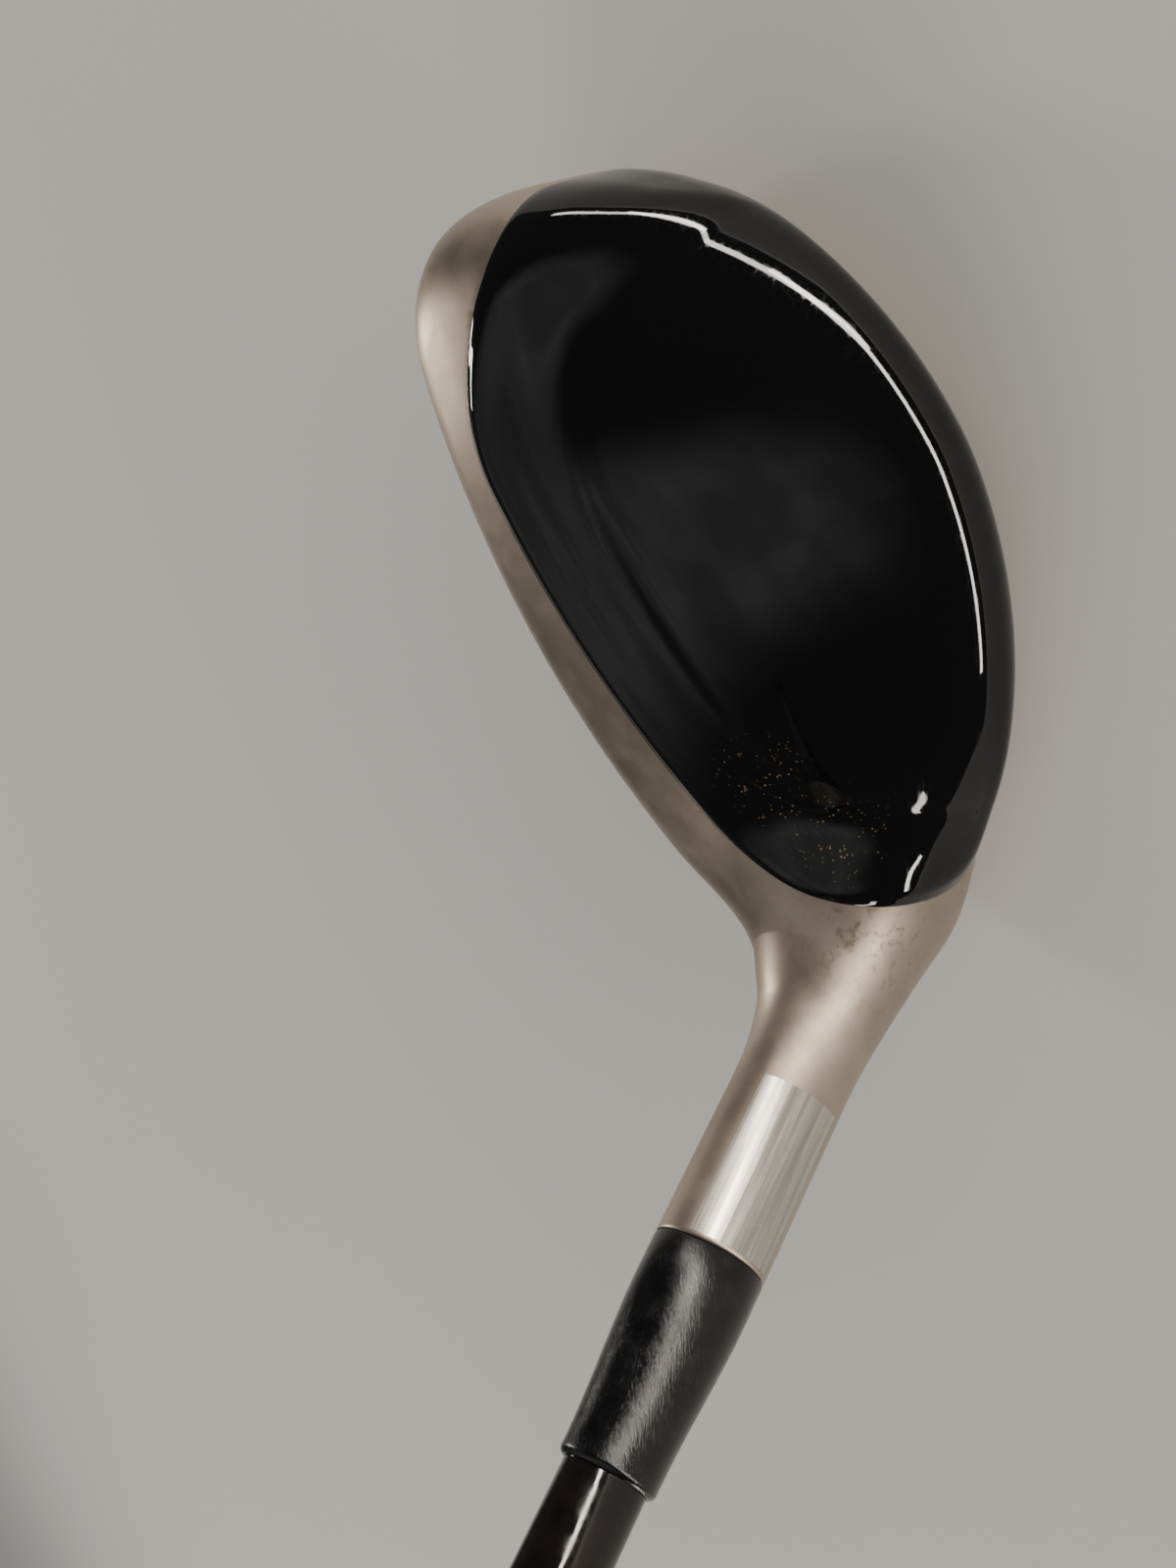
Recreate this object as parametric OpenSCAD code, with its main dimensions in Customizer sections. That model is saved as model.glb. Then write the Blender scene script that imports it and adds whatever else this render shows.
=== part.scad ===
// Hybrid golf club, right-handed, standing at address.
// +X points to the toe, +Y to the target and +Z up. The origin is the point of the sole that
// touches the ground. All sizes are in millimetres.

/* [Club] */
// Length from the ground to the end of the grip, along the shaft
club_length = 1016; // [960:2:1060]
// Angle between the shaft and the ground
lie_angle = 60; // [58:0.5:62]
// Backward tilt of the face
loft_angle = 22; // [18:0.5:27]

/* [Head] */
// Toe end of the head, measured from the face centre
toe_x = 51.5; // [49:0.5:53]
// Heel end of the head outline, measured from the face centre
heel_x = -42.9; // [-45:0.1:-42]
// Leading edge of the sole, in front of the ground point
front_y = 19.6; // [18:0.2:21]
// Rearmost edge of the head
rear_y = -49.2; // [-52:0.2:-46]
// Height of the crown dome above the ground
crown_z = 36.9; // [35:0.1:38]
// Radius of the face bulge from heel to toe
bulge_r = 300; // [250:10:400]
// Wall of the cast body
body_wall = 1.3; // [1.2:0.1:1.8]

/* [Hosel and shaft] */
// Length from the ground to the top of the hosel, along the shaft
hosel_top = 63.6; // [60:0.2:68]
// Outside diameter of the hosel
hosel_d = 13; // [12.6:0.1:13.6]
// Depth of the shaft in the hosel
insert_depth = 32; // [28:1:34]
// Diameter of the shaft at its tip
tip_d = 9.4; // [9.3:0.1:9.6]
// Diameter of the shaft at its butt
butt_d = 15.2; // [14.8:0.1:15.6]
// Length of the ferrule
ferrule_length = 25; // [20:1:28]

/* [Grip] */
// Length of the grip
grip_length = 267; // [255:1:275]
// Diameter of the grip at its mouth
grip_mouth_d = 19.6; // [19:0.2:21]
// Diameter of the grip just under the cap
grip_butt_d = 26.8; // [26:0.2:28]
// Diameter of the vent hole in the grip cap
vent_d = 3.2; // [2.8:0.2:3.6]

/* [Hidden] */
$fn = 64;

// Shaft axis: it crosses the ground at axis_foot and runs up to the grip along axis_dir
axis_foot = [-34.9, -6.4, 0];
axis_dir = [-cos(lie_angle), 0, sin(lie_angle)];
axis_side = [sin(lie_angle), 0, cos(lie_angle)];
hosel_r = hosel_d / 2;
tip_r = tip_d / 2;
bond_gap = 0.15;
bore_r = tip_r + bond_gap;
tip_t = hosel_top - insert_depth;
parallel_end = tip_t + 90;
shaft_end = club_length - 6;
grip_mouth = club_length - grip_length;
tape_t = 0.25;
cap_t = 6;
cap_r = grip_butt_d / 2 + 1.2;
cap_edge = 2;

// Coloured band painted round the shaft, and the film label on the hosel
band_from = hosel_top + ferrule_length + 13;
band_to = band_from + 150;
label_length = 20;
label_from = -124;
label_span = 93;

// Head outline seen from above
outline_x = 2;
outline_y = -7;
rear_power = 1.77;
front_power = 1.55;
front_half = 44;
face_foot_z = 3;

// Sole: an inlaid plate that touches the ground, and a weight behind it
plate_size = [46, 15];
plate_thick = 1.5;
cavity_floor = 3.6;
weight_at = [2, -30];
weight_z = 3.3;
weight_tilt = -11.9;
weight_r = 6.5;
weight_depth = 6;
boss_top = 12.5;

// Crown plate seat and face insert
plate_seat = 1.3;
plate_t = 2.4;
groove_step = 3.4;
groove_w = 0.8;
groove_deep = 0.4;

// ---- blending ----
function smax(a, b, k) = let (h = max(k - abs(a - b), 0) / k) max(a, b) + h * h * k / 4;
function smin(a, b, k) = -smax(-a, -b, k);
function ramp(a, b, v) = let (u = min(max((v - a) / (b - a), 0), 1)) u * u * (3 - 2 * u);
function sum(v, i = 0) = i == len(v) ? 0 : v[i] + sum(v, i + 1);
function middle(r) = [for (k = [0 : 2]) sum([for (p = r) p[k]]) / len(r)];

// ---- skin of the cast head with its hosel: below zero inside, in about millimetres ----
function face_skin(p) =
    let (n = (p.y - front_y) * cos(loft_angle) + (p.z - face_foot_z) * sin(loft_angle))
    norm([p.x, n + bulge_r]) - bulge_r;
function outline_radius(p) =
    let (x = p.x - outline_x, y = p.y - outline_y,
        u = abs(x) / (x > 0 ? toe_x - outline_x : outline_x - heel_x),
        v = abs(y) / (y > 0 ? front_half : outline_y - rear_y),
        power = y > 0 ? front_power : rear_power)
    pow(pow(u, power) + pow(v, power), 1 / power);
function outline_skin(p) =
    let (under = max(14 + 0.06 * p.x - p.z, 0))
    (outline_radius(p) - 1) * 38 + 0.035 * under * under;
// distance behind the crown's front seam, which runs along the face and bends back at both ends
function seam_depth(p) =
    let (toe = max(p.x - 20, 0), heel = max(-24 - p.x, 0),
        back = smin(0.03 * toe * toe, 17, 6) + smin(0.043 * heel * heel, 13, 6))
    -(p.y + 6.1 - 0.05 * p.x + back) / sqrt(1 + 0.14 * back);
function crown_skin(p) =
    let (fall = ramp(0, 14 + 0.25 * max(p.x - 10, 0), seam_depth(p)),
        drop = (7 + 0.14 * max(p.x, 0)) * fall * pow(outline_radius(p), 3),
        top = crown_z + 0.148 * p.x - 0.0034 * p.x * p.x - 0.0085 * (p.y + 3.8) * (p.y + 3.8))
    0.85 * (p.z - top + drop);
function sole_skin(p) = 0.0012 * p.x * p.x + 0.0035 * p.y * p.y - p.z;
function axis_distance(p) = let (d = p - axis_foot) norm(d - (d * axis_dir) * axis_dir);
function head_skin(p) =
    let (head = smax(smax(face_skin(p), crown_skin(p), 6), outline_skin(p),
            9.3 - 4.8 * ramp(0, 16, seam_depth(p))),
        blend = min(max(17.2 - 0.085 * (p.y - axis_foot.y), 6), 40))
    smax(smin(head, axis_distance(p) - hosel_r, blend), sole_skin(p), 9);

// ---- crown region: below zero inside it. The body sinks under the plate by plate_seat ----
function crown_edge(p) = smax(-seam_depth(p), 9 - p.z, 6);
function body_skin(p) = head_skin(p) + plate_seat * ramp(0, 3, -crown_edge(p));

// ---- hollow of the body: it leaves a thick sole, a boss for the weight and the hosel's wall ----
function cavity_skin(p) =
    let (boss = max(norm([p.x - weight_at.x, p.y - weight_at.y]) - weight_r - 2.5, p.z - boss_top))
    smax(smax(body_skin(p) + body_wall, cavity_floor - p.z, 1),
        smax(-boss, bore_r + 2 - axis_distance(p), 1), 1);

// ---- point where a ray from inside leaves a skin ----
function halve(skin, o, d, lo, hi, n) = n == 0 ? o + (lo + hi) / 2 * d :
    let (m = (lo + hi) / 2)
    skin(o + m * d) < 0 ? halve(skin, o, d, m, hi, n - 1) : halve(skin, o, d, lo, m, n - 1);
function reach(skin, o, d, t = 0, step = 3) =
    skin(o + (t + step) * d) > 0 || t > 70 ? halve(skin, o, d, t, t + step, 9)
        : reach(skin, o, d, t + step, step);
function ring(skin, o, side, up, n, ahead = 0) =
    let (way = cross(side, up))
    [for (i = [0 : n - 1]) let (a = 360 * i / n)
        reach(skin, o, cos(ahead) * (cos(a) * side + sin(a) * up) + sin(ahead) * way)];

// ---- cross-sections from the toe along the head, round the heel and up the hosel ----
bend_z = 34;
bend_r = hosel_r + 13;
bend_t = (bend_z - bend_r * axis_side.z) / axis_dir.z;
bend_at = axis_foot + bend_t * axis_dir + bend_r * axis_side;
toe_mid = [toe_x - 15, -9, 18];
function toe_ring(skin, ahead, n) = ring(skin, toe_mid, [0, 1, 0], [0, 0, 1], n, ahead);
function head_ring(skin, f, n) =
    ring(skin, [bend_at.x, axis_foot.y, 16] * (1 - f) + toe_mid * f, [0, 1, 0], [0, 0, 1], n);
function heel_ring(skin, f, n) =
    let (a = f * lie_angle, up = [sin(a), 0, cos(a)], c = bend_at - up * (18 + (bend_r - 18) * f))
    ring(skin, [c.x, axis_foot.y, c.z], [0, 1, 0], up, n);
function hosel_ring(skin, t, n) = ring(skin, axis_foot + t * axis_dir, [0, 1, 0], axis_side, n);

// ---- a solid from a list of rings, closed by a fan at each end ----
module loft(rings) {
    n = len(rings[0]);
    m = len(rings);
    points = concat([for (r = rings) each r], [middle(rings[0]), middle(rings[m - 1])]);
    sides = [for (i = [0 : m - 2]) for (j = [0 : n - 1]) let (k = (j + 1) % n, a = i * n, b = a + n)
        each [[a + j, a + k, b + k], [a + j, b + k, b + j]]];
    first = [for (j = [0 : n - 1]) [m * n, (j + 1) % n, j]];
    last = [for (j = [0 : n - 1]) [m * n + 1, (m - 1) * n + j, (m - 1) * n + (j + 1) % n]];
    polyhedron(points, concat(sides, first, last));
}
module along_shaft(t = 0) {
    translate(axis_foot + t * axis_dir) rotate([0, lie_angle - 90, 0]) children();
}
// x across the face, y up it, and z = 0 at its surface, pointing out
module on_face() {
    translate([0, front_y, face_foot_z]) rotate([90 + loft_angle, 0, 0]) mirror([0, 0, 1]) children();
}
module on_weight() {
    translate([weight_at.x, weight_at.y, weight_z]) rotate([weight_tilt, 0, 0]) children();
}
// outline with a round corner at each [x, y, radius], anticlockwise
module rounded(corners) {
    n = len(corners);
    polygon([for (i = [0 : n - 1]) let (c = corners[i], turn = 360 / n) for (k = [0 : 8])
        [c[0], c[1]] + c[2] * [cos(180 + turn * (i + k / 8)), sin(180 + turn * (i + k / 8))]]);
}
module slab(size, r, grow = 0) {
    x = size.x / 2 - r;
    y = size.y / 2 - r;
    rounded([[-x, -y, r + grow], [x, -y, r + grow], [x, y, r + grow], [-x, y, r + grow]]);
}
module face_outline() rounded([[-16.5, 10.5, 6], [22, 11, 7], [25, 24, 5], [-18.5, 19.5, 5]]);

// ---- the head ----
module head_body() color("#8f8780") difference() {
    n = 44;
    skin = function(p) body_skin(p);
    hollow = function(p) cavity_skin(p);
    loft(concat([for (a = [78 : -13 : 13]) toe_ring(skin, a, n)],
        [for (i = [20 : -1 : 0]) head_ring(skin, i / 20, n)],
        [for (i = [1 : 11]) heel_ring(skin, i / 11, n)],
        [for (t = [34, 40, 47, 55, hosel_top]) hosel_ring(skin, t, n)]));
    loft(concat([for (a = [75 : -15 : 15]) toe_ring(hollow, a, 28)],
        [for (i = [12 : -1 : 0]) head_ring(hollow, i / 12, 28)]));
    along_shaft(tip_t - 1) cylinder(r = bore_r, h = insert_depth + 10);
    on_face() translate([0, 0, -6]) linear_extrude(9) face_outline();
    translate([0, 0, -1]) linear_extrude(1 + plate_thick + bond_gap) slab(plate_size, 6, bond_gap);
    on_weight() translate([0, 0, -5]) cylinder(r = weight_r, h = 5 + weight_depth);
}
module face_plate() color("#9a938b") on_face() difference() {
    intersection() {
        translate([0, 0, -6]) linear_extrude(9) face_outline();
        translate([0, -5, -bulge_r]) rotate([-90, 0, 0]) difference() {
            cylinder(r = bulge_r, h = 50, $fn = 360);
            translate([0, 0, -1]) cylinder(r = bulge_r - plate_t, h = 52, $fn = 360);
        }
    }
    for (i = [0 : 5]) translate([3, 6 + groove_step * i, -bulge_r]) rotate([-90, 0, 0]) difference() {
        intersection() {
            cylinder(r = bulge_r + 1, h = groove_w, $fn = 360);
            translate([-17, -bulge_r - 5, 0]) cube([34, 20, groove_w]);
        }
        translate([0, 0, -1]) cylinder(r = bulge_r - groove_deep, h = groove_w + 2, $fn = 360);
    }
}

// ---- the crown: a thin plate with a raised bead behind its front edge and a valley behind that ----
crown_lift = 0.2;
crown_mid = [2, -22, 14];
crown_side = [1.8, 0, 0];
crown_ahead = [0, cos(30), sin(30)];
crown_up = [0, -sin(30), cos(30)];
function crown_way(turn, lift) =
    let (d = cos(lift) * (cos(turn) * crown_side + sin(turn) * crown_ahead) + sin(lift) * crown_up)
    d / norm(d);
function edge_lift(skin, turn, lo, hi, n) = n == 0 ? (lo + hi) / 2 :
    let (m = (lo + hi) / 2, p = reach(skin, crown_mid, crown_way(turn, m)))
    crown_edge(p) > 0 ? edge_lift(skin, turn, m, hi, n - 1) : edge_lift(skin, turn, lo, m, n - 1);
function crown_rise(p) =
    let (s = max(-crown_edge(p), 0), edge = 1 - min(s / 0.8, 1), front = ramp(-44, -28, p.y),
        toe = max(p.x - 13, 0), heel = max(-22 - p.x, 0),
        behind = (p.y + 16.3 + 0.0135 * toe * toe + 0.03 * heel * heel)
            / (1 + 0.012 * toe + 0.02 * heel),
        bead = exp(-pow((s - 2.4) / 1.7, 2)) * ramp(44, 28, p.x),
        ends = ramp(0, 5, s) * ramp(44, 32, p.x) * ramp(-41, -31, p.x),
        valley = exp(-pow(behind / 2.8, 2)) * ends)
    sqrt(1 - edge * edge) * (crown_lift + 0.9 * front * (bead - valley));
module crown_plate() color("#17181a") {
    n = 60;
    m = 17;
    head = function(p) head_skin(p);
    seat = function(p) body_skin(p) - 0.03;
    turns = [for (i = [0 : n - 1]) 360 * i / n];
    start = [for (a = turns) edge_lift(head, a, -60, 85, 10)];
    ways = [for (i = [0 : n - 1]) [for (k = [0 : m - 1])
        crown_way(turns[i], start[i] + (90 - start[i]) * pow(k / m, 1.35))]];
    base = [for (line = ways) [for (d = line) reach(head, crown_mid, d)]];
    outer = [for (i = [0 : n - 1]) [for (k = [0 : m - 1])
        base[i][k] + ways[i][k] * crown_rise(base[i][k])]];
    inner = [for (i = [0 : n - 1]) [for (k = [1 : m - 1]) reach(seat, crown_mid, ways[i][k])]];
    top = reach(head, crown_mid, crown_up) + crown_lift * crown_up;
    under = reach(seat, crown_mid, crown_up);
    points = concat([for (line = outer) each line], [for (line = inner) each line], [top, under]);
    low = n * m;
    upper = function(i, k) k == m ? low + n * (m - 1) : (i % n) * m + k;
    lower = function(i, k) k == 0 ? upper(i, 0) : k == m ? low + n * (m - 1) + 1
        : low + (i % n) * (m - 1) + k - 1;
    faces = [for (i = [0 : n - 1]) for (k = [0 : m - 1]) each concat(
        [[upper(i, k), upper(i, k + 1), upper(i + 1, k)]],
        k == m - 1 ? [] : [[upper(i + 1, k), upper(i, k + 1), upper(i + 1, k + 1)]],
        [[lower(i, k + 1), lower(i, k), lower(i + 1, k)]],
        k == m - 1 ? [] : [[lower(i + 1, k + 1), lower(i, k + 1), lower(i + 1, k)]])];
    polyhedron(points, faces);
}

// ---- the sole ----
module sole_plate() color("#6d6862") linear_extrude(plate_thick) slab(plate_size, 6);
module sole_plate_bond() color("#d8d2c4") translate([0, 0, plate_thick])
    linear_extrude(bond_gap) slab(plate_size, 6);
module rear_weight() color("#55565a") on_weight() difference() {
    union() {
        translate([0, 0, 0.6]) cylinder(r = weight_r - 0.1, h = weight_depth - 1.6);
        cylinder(r1 = weight_r - 0.7, r2 = weight_r - 0.1, h = 0.6, $fn = 48);
    }
    translate([0, 0, -1]) cylinder(r = 2.9, h = 4, $fn = 6);
}
module rear_weight_seal() color("#1b1b1b") on_weight() translate([0, 0, weight_depth - 1]) difference() {
    cylinder(r = weight_r - 0.2, h = 1);
    translate([0, 0, -1]) cylinder(r = weight_r - 2.4, h = 3);
}
module tungsten_bar() color("#77797c") translate([0, -12, cavity_floor]) linear_extrude(4) slab([34, 9], 3);
module damping_gum() color("#c9b676") translate([30, -8, cavity_floor]) rotate_extrude()
    intersection() {
        translate([0, -3]) circle(r = 7);
        square([8, 8]);
    }

// ---- hosel, ferrule and shaft ----
module tube(profile) rotate_extrude() polygon(profile);
function shaft_r(t) = tip_r + (butt_d / 2 - tip_r) * max(t - parallel_end, 0) / (shaft_end - parallel_end);
function bore_at(t) = 3.2 + (butt_d / 2 - 4.3) * max(t - parallel_end, 0) / (shaft_end - parallel_end);
module sleeve(from, to, low, high) along_shaft() {
    stops = concat([from], [for (t = [parallel_end]) if (t > from && t < to) t], [to]);
    tube(concat([for (t = stops) [shaft_r(t) + low, t]],
        [for (i = [len(stops) - 1 : -1 : 0]) [shaft_r(stops[i]) + high, stops[i]]]));
}
module hosel_bond() color("#cfc7a2") along_shaft(tip_t - 1) difference() {
    cylinder(r = bore_r, h = insert_depth + 1);
    translate([0, 0, 1]) cylinder(r = tip_r, h = insert_depth + 1);
}
module tip_plug() color("#b5893c") along_shaft(tip_t) cylinder(r = 3.2, h = 14);
module ferrule() color("#1c1c1e") along_shaft(hosel_top) {
    end_r = hosel_r - 1;
    edge = 0.7;
    tube(concat([[tip_r, 0], [hosel_r - 0.15, 0], [hosel_r, 0.3], [hosel_r, 7]],
        [for (a = [0 : 15 : 90]) [end_r - edge + edge * cos(a), ferrule_length - edge + edge * sin(a)]],
        [[tip_r, ferrule_length]]));
}
module shaft() color("#141416") along_shaft() tube([
    [3.2, tip_t], [tip_r - 0.3, tip_t], [tip_r, tip_t + 0.6], [tip_r, parallel_end],
    [butt_d / 2, shaft_end], [bore_at(shaft_end), shaft_end], [3.2, parallel_end]]);
module shaft_band() color("#5b1116") sleeve(band_from, band_to, 0, 0.05);
module hosel_label() color("#cfcdc8") along_shaft(hosel_top - label_length) rotate([0, 0, label_from])
    rotate_extrude(angle = label_span) translate([hosel_r, 0]) square([0.1, label_length - 0.4]);

// ---- the grip ----
module grip_tape() color("#e3dfd2") sleeve(grip_mouth + 6, shaft_end, 0, tape_t);
module grip() color("#222224") along_shaft() {
    bore = shaft_r(grip_mouth) + tape_t;
    tube(concat([[bore, grip_mouth]],
        [for (a = [-90 : 30 : 90]) [grip_mouth_d / 2 - 0.8 + 1.4 * cos(a), grip_mouth + 1.4 + 1.4 * sin(a)]],
        [[grip_mouth_d / 2, grip_mouth + 3.4], [grip_butt_d / 2, club_length - cap_t],
        [butt_d / 2 + tape_t, club_length - cap_t], [butt_d / 2 + tape_t, shaft_end]]));
}
module grip_cap() color("#1a1a1b") along_shaft(club_length - cap_t) difference() {
    tube(concat([[0, 0], [grip_butt_d / 2, 0]],
        [for (a = [-60 : 30 : 90])
            [cap_r - cap_edge + cap_edge * cos(a), cap_t - cap_edge + cap_edge * sin(a)]],
        [[0, cap_t]]));
    translate([0, 0, -1]) cylinder(d = vent_d, h = cap_t + 2);
}

head_body();
face_plate();
crown_plate();
sole_plate();
sole_plate_bond();
rear_weight();
rear_weight_seal();
tungsten_bar();
damping_gum();
hosel_bond();
tip_plug();
ferrule();
shaft();
shaft_band();
hosel_label();
grip_tape();
grip();
grip_cap();
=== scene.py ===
import math

import bmesh
import bpy
import numpy as np
from mathutils import Matrix, Vector


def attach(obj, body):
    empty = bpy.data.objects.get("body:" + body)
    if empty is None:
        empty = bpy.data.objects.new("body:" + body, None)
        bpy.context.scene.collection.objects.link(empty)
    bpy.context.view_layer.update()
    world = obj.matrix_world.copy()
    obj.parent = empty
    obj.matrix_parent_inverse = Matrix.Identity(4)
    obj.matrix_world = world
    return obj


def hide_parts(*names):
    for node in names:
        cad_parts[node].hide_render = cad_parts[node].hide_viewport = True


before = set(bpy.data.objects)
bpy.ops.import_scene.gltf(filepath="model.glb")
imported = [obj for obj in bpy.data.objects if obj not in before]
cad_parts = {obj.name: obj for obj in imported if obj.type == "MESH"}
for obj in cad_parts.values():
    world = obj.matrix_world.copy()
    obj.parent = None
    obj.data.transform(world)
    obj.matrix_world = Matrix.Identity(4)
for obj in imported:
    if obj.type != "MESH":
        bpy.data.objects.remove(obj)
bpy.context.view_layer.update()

MM = 0.001

# ---------------------------------------------------------------------------------------------
# Sizes, in millimetres, in the row frame: +X to the toe, +Y to the target, +Z up
# ---------------------------------------------------------------------------------------------
LIE = math.radians(60)
LOFT = math.radians(22)
UP = np.array([0.0, 0.0, 1.0])

# The shaft's axis crosses the ground at AXIS_FOOT. Heights on it are measured from there.
AXIS_FOOT = np.array([-34.9, -6.4, 0.0])
AXIS_DIR = np.array([-math.cos(LIE), 0.0, math.sin(LIE)])
AXIS_SIDE = np.array([math.sin(LIE), 0.0, math.cos(LIE)])
AXIS_Y = np.array([0.0, 1.0, 0.0])

# Hosel, and the shaft that is bonded in it
HOSEL_R, HOSEL_TOP = 6.5, 63.6
HOSEL_EDGE_IN, HOSEL_EDGE_UP = 0.3, 0.35
BORE_R = 4.85
TIP_R, BUTT_R = 4.7, 7.6
TIP_T = HOSEL_TOP - 32
INNER_R = 3.2
PARALLEL_END = TIP_T + 90
CLUB_LENGTH = 1016.0
SHAFT_END = CLUB_LENGTH - 6
FERRULE_LENGTH, FERRULE_STRAIGHT, FERRULE_EDGE = 25.0, 4, 0.8
BAND_FROM = HOSEL_TOP + FERRULE_LENGTH + 13
BAND_LENGTH = 150
LABEL_LENGTH, LABEL_THICK = 20, 0.09
LABEL_FROM, LABEL_TO = math.radians(-124), math.radians(-31)

# Grip and its cap
GRIP_MOUTH = CLUB_LENGTH - 267
GRIP_MOUTH_R, GRIP_BUTT_R = 9.8, 13.4
GRIP_GAP = 0.25
CAP_T, CAP_EDGE = 6.0, 2.0
CAP_R = GRIP_BUTT_R + 1.2
VENT_R = 1.6

# Head: its outline seen from above, its crown and its face
TOE_X, HEEL_X = 51.5, -42.9
FRONT_Y, REAR_Y = 19.6, -49.2
OUTLINE_X, OUTLINE_Y = 2, -7
FRONT_HALF = 44
FRONT_POWER, REAR_POWER = 1.55, 1.77
CROWN_Z, CROWN_RIDGE_Y = 36.9, -3.8
SEAM_Y = -6.1
SEAT = 1.3
BULGE_R = 300.0
FACE_FOOT_Z = 3.0
FACE_THICK = 2.3
GROOVE_FIRST, GROOVE_STEP = 6, 3.4

# Crown relief: a rolled edge, a bead inside the seam and a valley behind it
ROLL_W, ROLL_H = 0.8, 0.2
BEAD_AT, BEAD_W = 2.4, 1.7
VALLEY_Y, VALLEY_W = -16.3, 2.8
RELIEF = 0.9

# Inlays, as (x, y, radius) of each rounded corner, on the face and on the sole
FACE_OUTLINE = [(-16.5, 10.5, 6), (22, 11, 7), (25, 24, 5), (-18.5, 19.5, 5)]
PLATE_OUTLINE = [(-17, -1.5, 6), (17, -1.5, 6), (17, 1.5, 6), (-17, 1.5, 6)]
PLATE_GAP, PLATE_DEEP = 0.15, 1.65
FACE_DEEP = 2.5
WEIGHT_AT, WEIGHT_TILT, WEIGHT_R = np.array([2.0, -30.0, 3.3]), math.radians(-11.9), 6.5
WEIGHT_DEEP = 6


# ---------------------------------------------------------------------------------------------
# The skin of the head: below zero inside, in about millimetres
# ---------------------------------------------------------------------------------------------
def smax(a, b, k):
    """The larger of two skins, with a rounded blend k wide."""
    h = np.maximum(k - np.abs(a - b), 0) / k
    return np.maximum(a, b) + h * h * k / 4


def smin(a, b, k):
    """The smaller of two skins, with a rounded blend k wide."""
    return -smax(-a, -b, k)


def ramp(a, b, v):
    """Rises softly from zero at a to one at b."""
    u = np.clip((v - a) / (b - a), 0, 1)
    return u * u * (3 - 2 * u)


def face_skin(p):
    """The face: it leans back by the loft and bulges from heel to toe."""
    n = (p[..., 1] - FRONT_Y) * math.cos(LOFT) + (p[..., 2] - FACE_FOOT_Z) * math.sin(LOFT)
    return np.hypot(p[..., 0], n + BULGE_R) - BULGE_R


def outline_radius(p):
    """One on the outline of the head seen from above, and less inside it."""
    x, y = p[..., 0] - OUTLINE_X, p[..., 1] - OUTLINE_Y
    u = np.abs(x) / np.where(x > 0, TOE_X - OUTLINE_X, OUTLINE_X - HEEL_X)
    v = np.abs(y) / np.where(y > 0, FRONT_HALF, OUTLINE_Y - REAR_Y)
    power = np.where(y > 0, FRONT_POWER, REAR_POWER)
    return (u ** power + v ** power) ** (1 / power)


def outline_skin(p):
    """The sides of the head, drawn in towards the sole."""
    under = np.maximum(14 + 0.06 * p[..., 0] - p[..., 2], 0)
    return (outline_radius(p) - 1) * 38 + 0.035 * under * under


def seam_depth(p):
    """How far a point is behind the crown's front seam, which bends back at toe and heel."""
    x, y = p[..., 0], p[..., 1]
    toe, heel = np.maximum(x - 20, 0), np.maximum(-24 - x, 0)
    back = smin(0.03 * toe * toe, 17, 6) + smin(0.043 * heel * heel, 13, 6)
    return -(y - SEAM_Y - 0.05 * x + back) / np.sqrt(1 + 0.14 * back)


def crown_skin(p):
    """The top of the head: a shallow dome that falls away behind the seam."""
    x, y, z = p[..., 0], p[..., 1], p[..., 2]
    fall = ramp(0, 14 + 0.25 * np.maximum(x - 10, 0), seam_depth(p))
    drop = (7 + 0.14 * np.maximum(x, 0)) * fall * outline_radius(p) ** 3
    top = CROWN_Z + 0.148 * x - 0.0034 * x * x - 0.0085 * (y - CROWN_RIDGE_Y) ** 2
    return 0.85 * (z - top + drop)


def sole_skin(p):
    """The sole, curved from heel to toe and more from front to back."""
    return 0.0012 * p[..., 0] * p[..., 0] + 0.0035 * p[..., 1] * p[..., 1] - p[..., 2]


def axis_distance(p):
    """Distance from the shaft's axis."""
    d = p - AXIS_FOOT
    return np.linalg.norm(d - (d @ AXIS_DIR)[..., None] * AXIS_DIR, axis=-1)


def head_skin(p):
    """The whole head with its hosel, blended."""
    side_blend = 9.3 - 4.8 * ramp(0, 16, seam_depth(p))
    head = smax(smax(face_skin(p), crown_skin(p), 6), outline_skin(p), side_blend)
    hosel_blend = np.clip(17.2 - 0.085 * (p[..., 1] - AXIS_FOOT[1]), 6, 40)
    return smax(smin(head, axis_distance(p) - HOSEL_R, hosel_blend), sole_skin(p), 9)


def crown_edge(p):
    """Below zero where the black crown covers the body."""
    return smax(-seam_depth(p), 9 - p[..., 2], 6)


def body_skin(p):
    """The body alone, which is lower under the crown by the depth of its seat."""
    return head_skin(p) + SEAT * ramp(0.5, 1.8, -crown_edge(p))


def crown_rise(p):
    """Height of the crown over the head's skin: a rolled edge, a bead and a valley behind it."""
    x, y = p[..., 0], p[..., 1]
    inside = np.maximum(-crown_edge(p), 0)
    roll = 1 - np.minimum(inside / ROLL_W, 1)
    bead = np.exp(-((inside - BEAD_AT) / BEAD_W) ** 2) * ramp(44, 28, x)
    toe, heel = np.maximum(x - 13, 0), np.maximum(-22 - x, 0)
    behind = y - VALLEY_Y + 0.0135 * toe * toe + 0.03 * heel * heel
    behind /= 1 + 0.012 * toe + 0.02 * heel
    valley = np.exp(-(behind / VALLEY_W) ** 2) * ramp(0, 5, inside) * ramp(44, 32, x) * ramp(-41, -31, x)
    return np.sqrt(1 - roll * roll) * (ROLL_H + RELIEF * ramp(-44, -28, y) * (bead - valley))


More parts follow.
